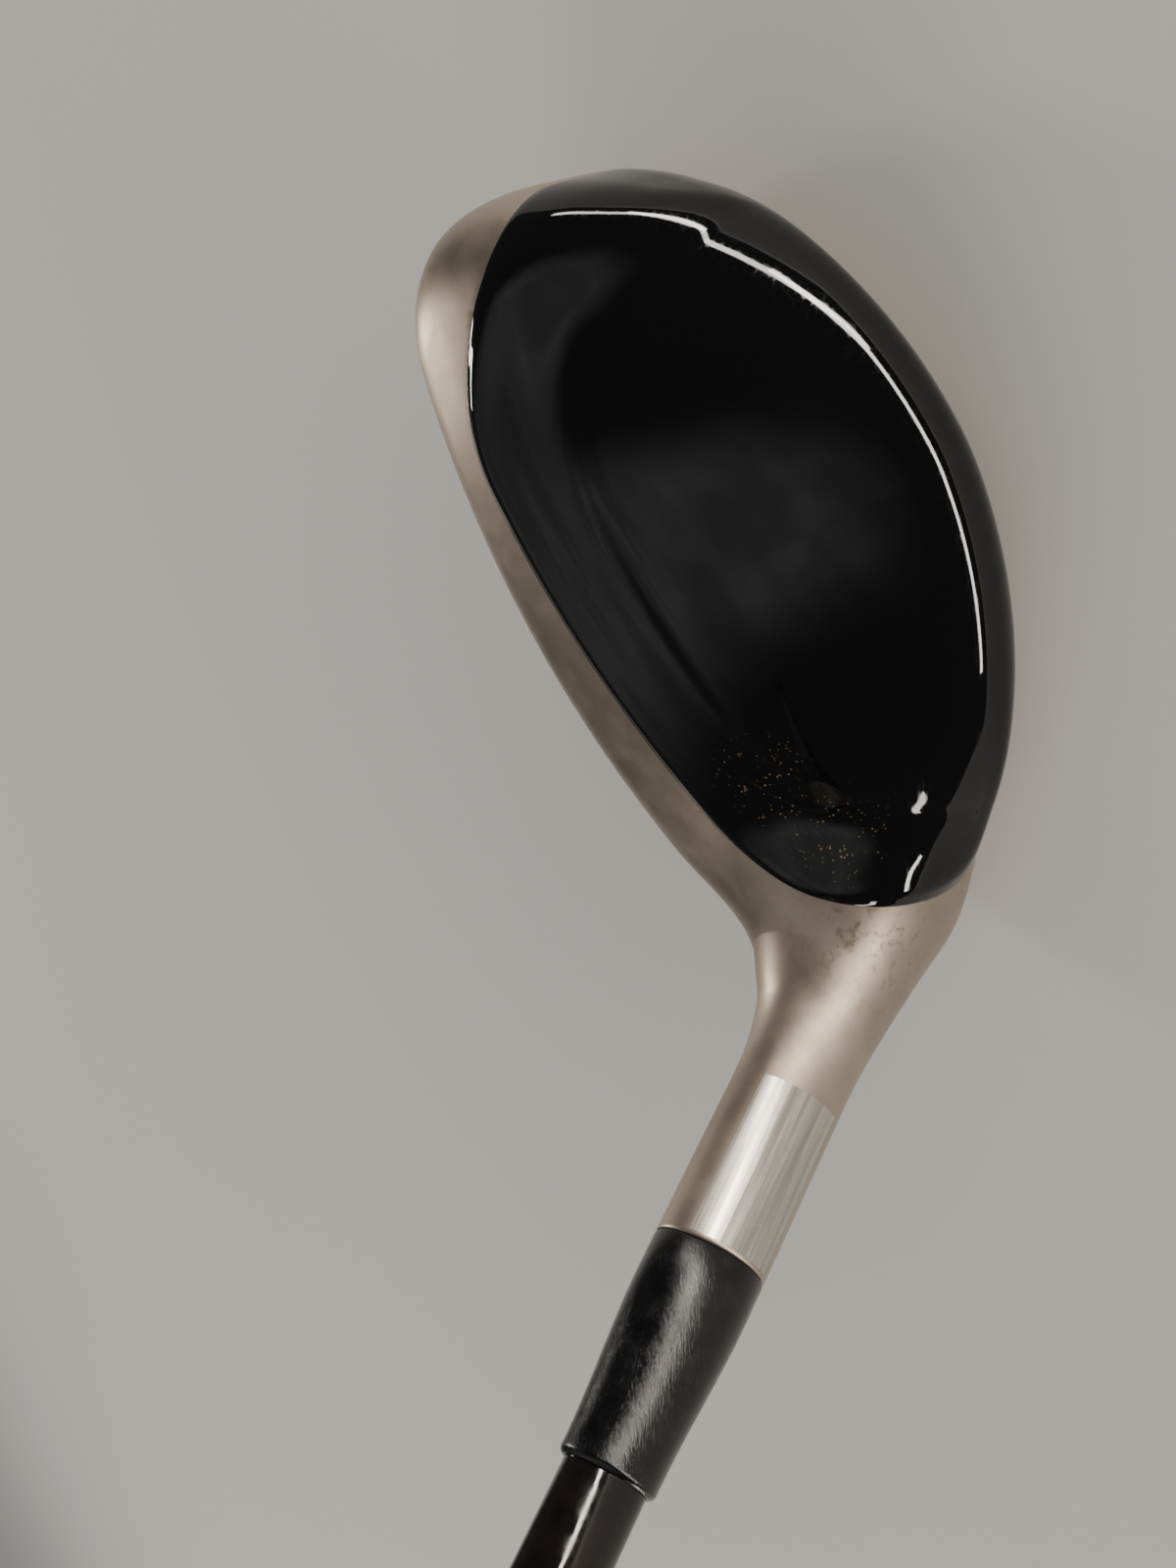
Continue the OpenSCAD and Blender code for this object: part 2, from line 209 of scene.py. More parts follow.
def reach(skin, start, way):
    """The points where rays from inside leave a skin. start and way are (..., 3)."""
    stride = 2.0
    start = np.broadcast_to(start, way.shape)
    low = np.zeros(way.shape[:-1])
    still_inside = np.ones(way.shape[:-1], bool)
    for step in range(1, 40):
        still_inside &= skin(start + stride * step * way) < 0
        low = np.where(still_inside, stride * step, low)
        if not still_inside.any():
            break
    high = low + stride
    for _ in range(16):
        mid = (low + high) / 2
        inside = skin(start + mid[..., None] * way) < 0
        low, high = np.where(inside, mid, low), np.where(inside, high, mid)
    return start + ((low + high) / 2)[..., None] * way


# ---------------------------------------------------------------------------------------------
# Meshes
# ---------------------------------------------------------------------------------------------
def to_object(name, points, faces, sharp=35):
    """An object from points in millimetres, shaded smooth but for edges sharper than the angle."""
    mesh = bpy.data.meshes.new(name)
    mesh.from_pydata((np.asarray(points) * MM).tolist(), [], faces)
    work = bmesh.new()
    work.from_mesh(mesh)
    bmesh.ops.recalc_face_normals(work, faces=work.faces)
    work.to_mesh(mesh)
    work.free()
    made = bpy.data.objects.new(name, mesh)
    bpy.context.scene.collection.objects.link(made)
    smooth(made, sharp)
    return made


def smooth(obj, sharp=35):
    """Smooth shading, broken at edges sharper than the angle in degrees."""
    obj.data.polygons.foreach_set("use_smooth", [True] * len(obj.data.polygons))
    obj.data.set_sharp_from_angle(angle=math.radians(sharp))


def loft(rings, closed=False):
    """Points and faces of a skin through rings, each (n, 3): closed in a loop, or by end fans."""
    rings = np.asarray(rings)
    m, n = rings.shape[:2]
    points = rings.reshape(-1, 3)
    rows = m if closed else m - 1
    faces = [(i * n + j, i * n + (j + 1) % n, (i + 1) % m * n + (j + 1) % n, (i + 1) % m * n + j)
             for i in range(rows) for j in range(n)]
    if not closed:
        points = np.concatenate([points, rings[0].mean(0)[None], rings[-1].mean(0)[None]])
        faces += [(m * n, (j + 1) % n, j) for j in range(n)]
        faces += [(m * n + 1, (m - 1) * n + j, (m - 1) * n + (j + 1) % n) for j in range(n)]
    return points, faces


def around(n):
    """Angles of n points round a circle."""
    return np.linspace(0, math.tau, n, endpoint=False)


def off_axis(angles):
    """Unit arrows from the shaft's axis at angles about it."""
    return np.cos(angles)[:, None] * AXIS_SIDE + np.sin(angles)[:, None] * AXIS_Y


def along_shaft(profile, n):
    """Rings of [radius, height] points about the shaft's axis."""
    return [AXIS_FOOT + t * AXIS_DIR + r * off_axis(around(n)) for r, t in profile]


def turned(name, profile, n=128):
    """A ring-shaped piece from a closed outline of [radius, height] points."""
    return to_object(name, *loft(along_shaft(profile, n), closed=True))


def carve(obj, points, faces, operation="DIFFERENCE"):
    """Cuts an object with a closed tool: takes the tool away, or keeps only what is inside it."""
    tool = to_object("cutter", points, faces)
    change = obj.modifiers.new("carve", "BOOLEAN")
    change.operation = operation
    change.solver = "EXACT"
    change.object = tool
    graph = bpy.context.evaluated_depsgraph_get()
    carved = bpy.data.meshes.new_from_object(obj.evaluated_get(graph))
    obj.modifiers.clear()
    old = obj.data
    obj.data = carved
    carved.name = obj.name
    bpy.data.meshes.remove(old)
    bpy.data.objects.remove(tool)
    smooth(obj)


def prism(outline, low, high, place):
    """A closed prism over an outline of (x, y) points, put in place by a function."""
    n = len(outline)
    flat = np.asarray(outline, float)
    ends = [np.column_stack([flat, np.full(n, h)]) for h in (low, high)]
    points = np.concatenate([place(e) for e in ends])
    sides = [(j, (j + 1) % n, n + (j + 1) % n, n + j) for j in range(n)]
    return points, sides + [tuple(range(n))[::-1], tuple(range(n, 2 * n))]


def arc(x, y, r, a, b, steps=8):
    """Points of an arc, from angle a to b in degrees."""
    return [(x + r * math.cos(math.radians(v)), y + r * math.sin(math.radians(v)))
            for v in np.linspace(a, b, steps + 1)]


def rounded(corners, steps=12):
    """Outline with a round corner at each (x, y, radius), anticlockwise."""
    out = []
    for i, (x, y, r) in enumerate(corners):
        out += arc(x, y, r, 180 + 90 * i, 270 + 90 * i, steps)
    return out


def on_face(p):
    """From (across, up, out) of the face to the row frame."""
    c, s = math.cos(LOFT), math.sin(LOFT)
    return np.column_stack([p[:, 0], FRONT_Y - p[:, 1] * s + p[:, 2] * c,
                            FACE_FOOT_Z + p[:, 1] * c + p[:, 2] * s])


def on_sole(p):
    """The sole plate lies flat at the origin, so its own axes are the row frame."""
    return p


def on_weight(p):
    """From the weight's own axes to the row frame."""
    turn = np.array(Matrix.Rotation(WEIGHT_TILT, 3, "X"))
    return p @ turn.T + WEIGHT_AT


def across_face(xs, section):
    """A bar from heel to toe that follows the bulge. Its section is (up, out) points."""
    bulge = np.sqrt(BULGE_R ** 2 - xs ** 2) - BULGE_R
    rails = [on_face(np.column_stack([xs, np.full(len(xs), up), bulge + out])) for up, out in section]
    return loft(np.array(rails).transpose(1, 0, 2))


# ---------------------------------------------------------------------------------------------
# Pieces made here
# ---------------------------------------------------------------------------------------------
def ring_at(centre, up, n, ahead=0.0):
    """A ring of the body's skin about a point, in the plane of up and Y or leaning ahead of it."""
    a = around(n)[:, None]
    flat = np.cos(a) * AXIS_Y + np.sin(a) * up
    way = math.cos(ahead) * flat + math.sin(ahead) * np.cross(AXIS_Y, up)
    return reach(body_skin, centre, way)


def make_body():
    """The cast body with its hosel: rings of its skin from the toe to the top of the hosel."""
    n = 200
    toe = np.array([TOE_X - 15, -9.0, 18.0])
    rings = [ring_at(toe, UP, n, ahead) for ahead in np.radians(np.arange(88, 1, -3.0))]

    # from there the rings run to the heel, round a bend and up the hosel
    bend_z, bend_r, level_r = 34, HOSEL_R + 13, 18
    bend = AXIS_FOOT + (bend_z - bend_r * AXIS_SIDE[2]) / AXIS_DIR[2] * AXIS_DIR + bend_r * AXIS_SIDE
    heel = bend - level_r * UP
    rings += [ring_at(heel * (1 - f) + toe * f, UP, n) for f in np.linspace(1, 0, 90)]
    for f in np.linspace(0, 1, 44)[1:]:
        up = np.array([math.sin(f * LIE), 0, math.cos(f * LIE)])
        rings.append(ring_at(bend - up * (level_r + (bend_r - level_r) * f), up, n))
    rim = HOSEL_TOP - HOSEL_EDGE_UP
    for t in np.append(np.arange(33, rim - 0.05, 1.2), rim):
        rings.append(ring_at(AXIS_FOOT + t * AXIS_DIR, AXIS_SIDE, n))
    last, middle = rings[-1], AXIS_FOOT + rim * AXIS_DIR
    for a in np.array([0.3, 0.6, 1.0]) * math.pi / 2:
        inward = 1 - HOSEL_EDGE_IN / HOSEL_R * (1 - math.cos(a))
        rings.append(middle + (last - middle) * inward + AXIS_DIR * HOSEL_EDGE_UP * math.sin(a))

    body = to_object("club_head", *loft(rings))
    carve(body, *loft(along_shaft([(BORE_R, TIP_T - 1), (BORE_R, HOSEL_TOP + 3)], 96)))
    carve(body, *prism(rounded(FACE_OUTLINE), -FACE_DEEP, 3, on_face))
    pocket = [(x, y, r + PLATE_GAP) for x, y, r in PLATE_OUTLINE]
    carve(body, *prism(rounded(pocket), -1, PLATE_DEEP, on_sole))
    carve(body, *prism(arc(0, 0, WEIGHT_R, 0, 360, 96)[:-1], -5, WEIGHT_DEEP, on_weight))
    return body


def make_crown():
    """The crown: a plate with a rolled edge, a raised bead behind its front and a valley."""
    n, m = ((360, 110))
    inner_gap = 0.05
    mid, tilt = np.array([2.0, -22.0, 14.0]), math.radians(30)
    ahead = np.array([0, math.cos(tilt), math.sin(tilt)])
    up = np.array([0, -math.sin(tilt), math.cos(tilt)])
    wide = np.array([1.8, 0, 0])

    def way(turn, lift):
        level = np.cos(turn)[..., None] * wide + np.sin(turn)[..., None] * ahead
        d = np.cos(lift)[..., None] * level + np.sin(lift)[..., None] * up
        return d / np.linalg.norm(d, axis=-1)[..., None]

    # the lift of each ray that meets the crown's edge
    turns = around(n)
    low, high = np.full(n, math.radians(-60)), np.full(n, math.radians(85))
    for _ in range(14):
        half = (low + high) / 2
        outside = crown_edge(reach(head_skin, mid, way(turns, half))) > 0
        low, high = np.where(outside, half, low), np.where(outside, high, half)
    first = (low + high) / 2

    # from the edge to the top, closer together near the edge
    share = (np.arange(m) / m) ** 1.5
    lifts = first[:, None] + (math.pi / 2 - first)[:, None] * share
    ways = way(np.broadcast_to(turns[:, None], lifts.shape), lifts)
    base = reach(head_skin, mid, ways)
    outer = base + ways * crown_rise(base)[..., None]
    inner = reach(lambda p: body_skin(p) - inner_gap, mid, ways)
    top = reach(head_skin, mid, up[None])[0]
    points = np.concatenate([outer.reshape(-1, 3), inner[:, 1:].reshape(-1, 3),
                             [top + ROLL_H * up, top - 1.2 * up]])
    inner_at = n * m
    tip = inner_at + n * (m - 1)

    def upper(i, k):
        return tip if k == m else (i % n) * m + k

    def lower(i, k):
        if k == 0:
            return upper(i, 0)
        return tip + 1 if k == m else inner_at + (i % n) * (m - 1) + k - 1

    faces = []
    for i in range(n):
        for k in range(m):
            for at, back in ((upper, False), (lower, True)):
                ring = [at(i, k), at(i, k + 1), at(i + 1, k + 1), at(i + 1, k)]
                if k == m - 1:
                    ring = [ring[0], ring[1], ring[3]]
                faces.append(tuple(ring[::-1] if back else ring))
    return to_object("crown", points, faces, 50)


def make_label():
    """A thin film wrapped a quarter of the way round the hosel."""
    out = off_axis(np.linspace(LABEL_FROM, LABEL_TO, 60))
    rows = np.array([reach(head_skin, AXIS_FOOT + t * AXIS_DIR, out)
                     for t in np.linspace(HOSEL_TOP - LABEL_LENGTH, HOSEL_TOP - 0.5, 30)])
    m, n = rows.shape[:2]
    points = np.concatenate([(rows + LABEL_THICK * out).reshape(-1, 3), (rows - 0.02 * out).reshape(-1, 3)])
    faces = []
    for i in range(m - 1):
        for j in range(n - 1):
            quad = [i * n + j, i * n + j + 1, (i + 1) * n + j + 1, (i + 1) * n + j]
            faces += [tuple(quad), tuple(m * n + q for q in quad[::-1])]
    rim = list(range(n)) + [i * n + n - 1 for i in range(1, m)]
    rim += [(m - 1) * n + j for j in range(n - 2, -1, -1)] + [i * n for i in range(m - 2, 0, -1)]
    for a, b in zip(rim, rim[1:] + rim[:1]):
        faces.append((b, a, m * n + a, m * n + b))
    return to_object("hosel_film", points, faces, 40)


def make_face():
    """The face insert with its score lines cut in."""
    sheet = [(0, 0), (34, 0), (34, -FACE_THICK), (0, -FACE_THICK)]
    groove = [(-0.1, 0.5), (0.9, 0.5), (0.9, 0), (0.6, -0.4), (0.2, -0.4), (-0.1, 0)]
    face = to_object("face_insert", *across_face(np.linspace(-27, 33, 121), sheet))
    carve(face, *prism(rounded(FACE_OUTLINE, 14), -8, 4, on_face), operation="INTERSECT")
    for row in range(6):
        foot = GROOVE_FIRST + GROOVE_STEP * row
        section = [(foot + up, out) for up, out in groove]
        carve(face, *across_face(np.linspace(-14, 20, 69), section))
    smooth(face, 30)
    return face


def shaft_r(t):
    """Radius of the shaft at a height on its axis."""
    return TIP_R + (BUTT_R - TIP_R) * max(t - PARALLEL_END, 0) / (SHAFT_END - PARALLEL_END)


def make_ferrule():
    """The collar: a short straight foot, a soft taper and a rounded top."""
    end_r, bore_r = HOSEL_R - 1, TIP_R + 0.01
    run = FERRULE_LENGTH - FERRULE_STRAIGHT - FERRULE_EDGE
    outline = [(HOSEL_R - 0.25, 0.02), (HOSEL_R - 0.08, 0.12), (HOSEL_R, 0.35), (HOSEL_R, FERRULE_STRAIGHT)]
    outline += [(HOSEL_R - (HOSEL_R - end_r) * ramp(0, 1, f), FERRULE_STRAIGHT + f * run)
                for f in np.linspace(0.04, 1, 24)]
    outline += arc(end_r - FERRULE_EDGE, FERRULE_LENGTH - FERRULE_EDGE, FERRULE_EDGE, 8, 90)
    outline += [(bore_r, FERRULE_LENGTH), (bore_r, 0.02)]
    return turned("ferrule_collar", [(r, HOSEL_TOP + t) for r, t in outline], 160)


def make_shaft():
    """The shaft: a tube with a straight tip that tapers out to the butt."""
    outer = [(TIP_R - 0.3, TIP_T), (TIP_R, TIP_T + 0.6), (TIP_R, PARALLEL_END)]
    outer += [(shaft_r(t), t) for t in np.linspace(PARALLEL_END + 40, SHAFT_END, 22)]
    inner = [(BUTT_R - 1.1, SHAFT_END), (INNER_R, PARALLEL_END), (INNER_R, TIP_T)]
    return turned("shaft_tube", outer + inner)


def make_band():
    """The coloured band, a skin of paint round the shaft."""
    stops = [BAND_FROM, PARALLEL_END]
    stops += list(np.linspace(PARALLEL_END + 10, BAND_FROM + BAND_LENGTH, 12))
    outside = [(shaft_r(t) + 0.05, t) for t in stops]
    inside = [(shaft_r(t) - 0.02, t) for t in stops[::-1]]
    return turned("shaft_paint", outside + inside)


def grip_pattern(f, t, angles):
    """Depth of the diamond dimples and plain grooves at a share f and a height t of the grip."""
    bay, cells = 44, 18
    local = (t - GRIP_MOUTH) % bay
    near_end = np.minimum(f * 250, (1 - f) * 250)
    zone = ramp(0, 1, np.minimum(local - 5, 41 - local)) * ramp(0, 2, near_end)
    diamonds = np.abs(np.sin(cells * angles + t * 1.15) * np.sin(cells * angles - t * 1.15))
    return 0.35 * zone * ramp(0.15, 0.6, diamonds) + 0.3 * (1 - ramp(0, 0.8, abs(local - 2.5)))


def make_grip():
    """The rubber grip, with rows of small diamond dimples between plain grooves."""
    n, m = ((144, 640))
    lip_r, angles = 1.4, around(n)
    start, top = GRIP_MOUTH + 3.4, CLUB_LENGTH - CAP_T
    rings = [(shaft_r(GRIP_MOUTH) + GRIP_GAP, GRIP_MOUTH)]
    rings += arc(GRIP_MOUTH_R - 0.8, GRIP_MOUTH + lip_r, lip_r, -90, 60)
    for t in np.linspace(start, top, m):
        f = (t - start) / (top - start)
        rings.append((GRIP_MOUTH_R + (GRIP_BUTT_R - GRIP_MOUTH_R) * f - grip_pattern(f, t, angles), t))
    rings += [(BUTT_R + GRIP_GAP, top), (BUTT_R + GRIP_GAP, SHAFT_END)]
    out = off_axis(angles)
    skin = [AXIS_FOOT + t * AXIS_DIR + np.broadcast_to(r, n)[:, None] * out for r, t in rings]
    return to_object("grip_rubber", *loft(skin, closed=True), 60)


def make_cap():
    """The end cap, with a shallow ring and the vent hole in its top."""
    low, top, chamfer = CLUB_LENGTH - CAP_T, CLUB_LENGTH, 0.3
    outline = [(VENT_R + chamfer, low), (GRIP_BUTT_R, low), (CAP_R - 0.3, low + 0.9)]
    outline += arc(CAP_R - CAP_EDGE, top - CAP_EDGE, CAP_EDGE, 0, 90, 12)
    outline += [(CAP_R - 4.2, top), (CAP_R - 4.5, top - 0.3), (CAP_R - 5.0, top - 0.3), (CAP_R - 5.3, top)]
    outline += [(VENT_R + chamfer, top), (VENT_R, top - chamfer), (VENT_R, low + chamfer)]
    return turned("end_cap", outline)


# ---------------------------------------------------------------------------------------------
# Materials
# ---------------------------------------------------------------------------------------------
ALONG_SHAFT = (0, math.pi / 2 - LIE, 0)  # brings the shaft's axis upright for lengthwise patterns
MIX, FIRST, SECOND, MIXED = 0, 6, 7, 2  # a colour mix's share, its two colours and its result


def linear(hex_colour):
    """sRGB hex to the linear colour a shader takes."""
    parts = [int(hex_colour[i:i + 2], 16) / 255 for i in (1, 3, 5)]
    return [c / 12.92 if c < 0.04045 else ((c + 0.055) / 1.055) ** 2.4 for c in parts] + [1.0]


def add(tree, kind, inputs=None, **settings):
    """One node. Its inputs are values, hex colours, or the sockets or nodes that feed them."""
    made = tree.nodes.new(kind)
    for name, value in settings.items():
        setattr(made, name, value)
    for name, value in (inputs or {}).items():
        if isinstance(value, bpy.types.Node):
            value = value.outputs[0]
        if isinstance(value, bpy.types.NodeSocket):
            tree.links.new(value, made.inputs[name])
        else:
            made.inputs[name].default_value = linear(value) if isinstance(value, str) else value
    return made


def material(name, build):
    """A material whose build function adds its pattern to the tree and sets the shader."""
    made = bpy.data.materials.new(name)
    made.use_nodes = True
    tree = made.node_tree
    tree.nodes.clear()
    shader = add(tree, "ShaderNodeBsdfPrincipled")
    add(tree, "ShaderNodeOutputMaterial", {"Surface": shader.outputs["BSDF"]})
    build(tree, shader)
    return made


def rescale(low, high, soft=(0.3, 0.7)):
    """The inputs of a map range that takes the soft range of a value to low and high."""
    return {"From Min": soft[0], "From Max": soft[1], "To Min": low, "To Max": high}


def where(tree, stretch=(1, 1, 1), turn=(0, 0, 0)):
    """The place on the piece in millimetres, turned and then stretched."""
    place = add(tree, "ShaderNodeNewGeometry").outputs["Position"]
    aligned = add(tree, "ShaderNodeMapping", {"Vector": place, "Rotation": turn})
    return add(tree, "ShaderNodeMapping", {"Vector": aligned, "Scale": [s / MM for s in stretch]})


def grain(tree, size, detail=3.0, rough=0.55, stretch=(1, 1, 1), turn=(0, 0, 0)):
    """Cloudy pattern from 0 to 1 with features of that size in millimetres."""
    place = where(tree, stretch, turn)
    return add(tree, "ShaderNodeTexNoise", {"Vector": place, "Scale": 1 / size, "Detail": detail,
                                            "Roughness": rough}).outputs["Fac"]


def near(tree, point, radius):
    """One at a place given in millimetres, falling to zero at the radius."""
    place = add(tree, "ShaderNodeNewGeometry").outputs["Position"]
    gap = add(tree, "ShaderNodeVectorMath", {0: place, 1: [c * MM for c in point]}, operation="DISTANCE")
    return add(tree, "ShaderNodeMapRange", {"Value": gap.outputs["Value"],
                                            **rescale(1, 0, (0, radius * MM))})


def tones(tree, cloud, dark, light, soft=(0.3, 0.7)):
    """A colour that drifts between two tones with a cloud."""
    drift = add(tree, "ShaderNodeMapRange", {"Value": cloud, **rescale(0, 1, soft)},
                interpolation_type="SMOOTHSTEP")
    return add(tree, "ShaderNodeMix", {MIX: drift, FIRST: dark, SECOND: light},
               data_type="RGBA").outputs[MIXED]


def painted_shade_patch(tree, tone, colour, place, cloud, share, soft=(0.3, 0.7)):
    """Painted shade: a tone darkened towards a colour at a place, by a share that follows a cloud."""
    thick = add(tree, "ShaderNodeMapRange", {"Value": cloud, **rescale(*share, soft)},
                interpolation_type="SMOOTHSTEP")
    shade_share = add(tree, "ShaderNodeMath", {0: place, 1: thick}, operation="MULTIPLY")
    return add(tree, "ShaderNodeMix", {MIX: shade_share, FIRST: tone, SECOND: colour},
               data_type="RGBA").outputs[MIXED]


def finish(tree, shader, tone, cloud, sheen, soft=(0.3, 0.7), metal=0.0, relief=None, depth=0.0):
    """Sets the tone, a roughness that follows a cloud, and a relief of a depth in millimetres."""
    rough = add(tree, "ShaderNodeMapRange", {"Value": cloud, **rescale(*sheen, soft)},
                interpolation_type="SMOOTHSTEP")
    tree.links.new(tone, shader.inputs["Base Color"])
    tree.links.new(rough.outputs[0], shader.inputs["Roughness"])
    shader.inputs["Metallic"].default_value = metal
    if relief is not None:
        raised = add(tree, "ShaderNodeBump", {"Height": relief, "Distance": depth * MM, "Strength": 1.0})
        tree.links.new(raised.outputs[0], shader.inputs["Normal"])


def satin_pewter(tree, shader):
    """Satin plated steel, warm grey with tiny pits. Painted shade darkens it to a patchy brown where the
    hosel meets the head, and to a faint gold on the hosel's target side higher up."""
    tone = tones(tree, grain(tree, 14), "#a99b8e", "#bcae9f")
    # painted shade: a patchy dark brown spot where the hosel meets the head
    tone = painted_shade_patch(tree, tone, "#5d4a38", near(tree, (-43, -16, 24), 11), grain(tree, 1.6, 6, 0.7),
                  (0, 0.8), (0.5, 0.68))
    # painted shade: a dull gold laid on the target side of the hosel, higher up
    tone = painted_shade_patch(tree, tone, "#8a6c45", near(tree, (-62, 2, 47), 14), grain(tree, 5, 4), (0.2, 0.7))
    finish(tree, shader, tone, grain(tree, 5), (0.4, 0.48), metal=1.0,
           relief=grain(tree, 0.35, 2), depth=0.008)


def blasted_face(tree, shader):
    """Bead-blasted face steel with a fine grain."""
    tone = tones(tree, grain(tree, 9), "#99938c", "#aca69f")
    finish(tree, shader, tone, grain(tree, 3), (0.42, 0.54), metal=1.0,
           relief=grain(tree, 0.18, 2), depth=0.02)


def gloss_black(tree, shader):
    """Black enamel under clear lacquer, faintly wavy, with hairline scratches. Brown dust lies in
    specks at the heel end of the valley and dulls the gloss there."""
    speck_size = 0.55
    patch = add(tree, "ShaderNodeMath", {0: near(tree, (-23, -18, 31), 7.5),
                                         1: near(tree, (-31, -21.5, 27), 7.5)}, operation="MAXIMUM")
    thick = add(tree, "ShaderNodeMapRange", {"Value": grain(tree, 1.4, 3), **rescale(0, 1, (0.44, 0.62))},
                interpolation_type="SMOOTHSTEP")
    cells = add(tree, "ShaderNodeTexVoronoi", {"Vector": where(tree), "Scale": 1 / speck_size})
    specks = add(tree, "ShaderNodeMapRange", {"Value": cells.outputs["Distance"],
                                              **rescale(1, 0, (0.12, 0.30))},
                 interpolation_type="SMOOTHSTEP")
    dusty = add(tree, "ShaderNodeMath", {0: patch, 1: thick}, operation="MULTIPLY")
    dusty = add(tree, "ShaderNodeMath", {0: dusty, 1: specks}, operation="MULTIPLY")
    tone = add(tree, "ShaderNodeMix", {MIX: dusty, FIRST: "#060607", SECOND: "#9a845c"}, data_type="RGBA")
    tree.links.new(tone.outputs[MIXED], shader.inputs["Base Color"])

    hairlines = grain(tree, 0.5, 2, stretch=(0.05, 1, 1), turn=(0, 0, 0.5))
    scratched = add(tree, "ShaderNodeMapRange", {"Value": hairlines, **rescale(0.03, 0.10, (0.45, 0.75))},
                    interpolation_type="SMOOTHSTEP")
    dulled = add(tree, "ShaderNodeMath", {0: dusty, 1: 0.5, 2: scratched}, operation="MULTIPLY_ADD")
    tree.links.new(dulled.outputs[0], shader.inputs["Roughness"])
    waves = add(tree, "ShaderNodeBump", {"Height": grain(tree, 6, 1), "Distance": 0.006 * MM,
                                         "Strength": 1.0})
    tree.links.new(waves.outputs[0], shader.inputs["Normal"])


def brushed_sole(tree, shader):
    """Sole plate brushed from heel to toe."""
    lines = grain(tree, 0.25, 3, stretch=(0.03, 1, 1))
    finish(tree, shader, tones(tree, lines, "#7d766e", "#948d86"), lines, (0.26, 0.42), metal=1.0,
           relief=lines, depth=0.01)


def adhesive(tree, shader):
    """Cured epoxy, faintly amber and cloudy."""
    cloud = grain(tree, 3)
    finish(tree, shader, tones(tree, cloud, "#d8cfa6", "#e6dfc2"), cloud, (0.2, 0.35))


def tungsten(tree, shader):
    """Turned tungsten, dark grey with fine tool lines."""
    lines = grain(tree, 0.4, stretch=(1, 1, 0.2))
    finish(tree, shader, tones(tree, lines, "#5c5d60", "#74757a"), lines, (0.3, 0.45), metal=1.0)


def nylon(tree, shader):
    """Matt black nylon."""
    specks = grain(tree, 0.5)
    finish(tree, shader, tones(tree, specks, "#141414", "#202020"), specks, (0.5, 0.65))


def gum(tree, shader):
    """Sticky amber gum."""
    cloud = grain(tree, 2)
    finish(tree, shader, tones(tree, cloud, "#b0883a", "#cdab5e"), cloud, (0.15, 0.3))


def brass(tree, shader):
    """Turned brass with fine tool lines."""
    lines = grain(tree, 0.4, stretch=(1, 1, 0.2))
    finish(tree, shader, tones(tree, lines, "#b08a45", "#c39d57"), lines, (0.25, 0.4), metal=1.0)


def ferrule_plastic(tree, shader):
    """Black celluloid collar, polished, with a scuffed streak and fine slanting scratches."""
    slant = (0, math.pi / 2 - LIE + 0.5, 0)
    scuffs = grain(tree, 0.22, 5, 0.7, stretch=(1, 1, 0.1), turn=slant)
    patch = grain(tree, 2.2, 4)
    worn = add(tree, "ShaderNodeMath", {0: patch, 1: 0.6, 2: scuffs}, operation="MULTIPLY_ADD")
    finish(tree, shader, tones(tree, patch, "#080809", "#101011"), worn, (0.10, 0.34), (0.7, 1.05),
           relief=scuffs, depth=0.03)


def graphite_lacquer(tree, shader):
    """Black lacquered graphite with a slight warm tinge and fine orange-peel."""
    finish(tree, shader, tones(tree, grain(tree, 4), "#0a0809", "#15100f"), grain(tree, 1.5),
           (0.06, 0.14), relief=grain(tree, 1.8, 1), depth=0.012)


def red_paint(tree, shader):
    """Dark red band, broken into slanting strokes so that the black shows between them."""
    strokes = add(tree, "ShaderNodeTexWave", {"Vector": where(tree, turn=ALONG_SHAFT), "Scale": 1 / 46,
                                              "Distortion": 1.2, "Detail": 1.0},
                  wave_type="BANDS", bands_direction="DIAGONAL").outputs["Fac"]
    finish(tree, shader, tones(tree, strokes, "#0c090a", "#3c0c11", (0.5, 0.56)),
           grain(tree, 1.5, turn=ALONG_SHAFT), (0.08, 0.16))


def label_film(tree, shader):
    """Silvery film under a clear coat, with lengthwise lines."""
    lines = grain(tree, 0.5, 4, stretch=(1, 1, 0.02), turn=ALONG_SHAFT)
    finish(tree, shader, tones(tree, lines, "#aaa59c", "#cbc6bd"), lines, (0.16, 0.34), metal=0.9,
           relief=lines, depth=0.01)
    shader.inputs["Coat Weight"].default_value = 0.5
    shader.inputs["Coat Roughness"].default_value = 0.08


def paper(tree, shader):
    """Crepe paper tape, with creases across it."""
    creases = grain(tree, 1.2, stretch=(1, 1, 3))
    finish(tree, shader, tones(tree, creases, "#d7d1bf", "#e8e3d4"), creases, (0.7, 0.85),
           relief=creases, depth=0.05)


def rubber(tree, shader):
    """Black rubber with a matt grain."""
    finish(tree, shader, tones(tree, grain(tree, 8), "#151516", "#222224"), grain(tree, 2),
           (0.55, 0.75), relief=grain(tree, 0.4, 3), depth=0.03)


def cap_rubber(tree, shader):
    """Harder, smoother black rubber."""
    finish(tree, shader, tones(tree, grain(tree, 5), "#121213", "#1b1b1c"), grain(tree, 2), (0.4, 0.55))


def plain_floor(tree, shader):
    """Pale matt floor, very slightly uneven in tone."""
    tone = add(tree, "ShaderNodeMix", {MIX: grain(tree, 300), FIRST: "#c6c5c2", SECOND: "#cbcac7"},
               data_type="RGBA")
    tree.links.new(tone.outputs[MIXED], shader.inputs["Base Color"])
    shader.inputs["Roughness"].default_value = 0.9


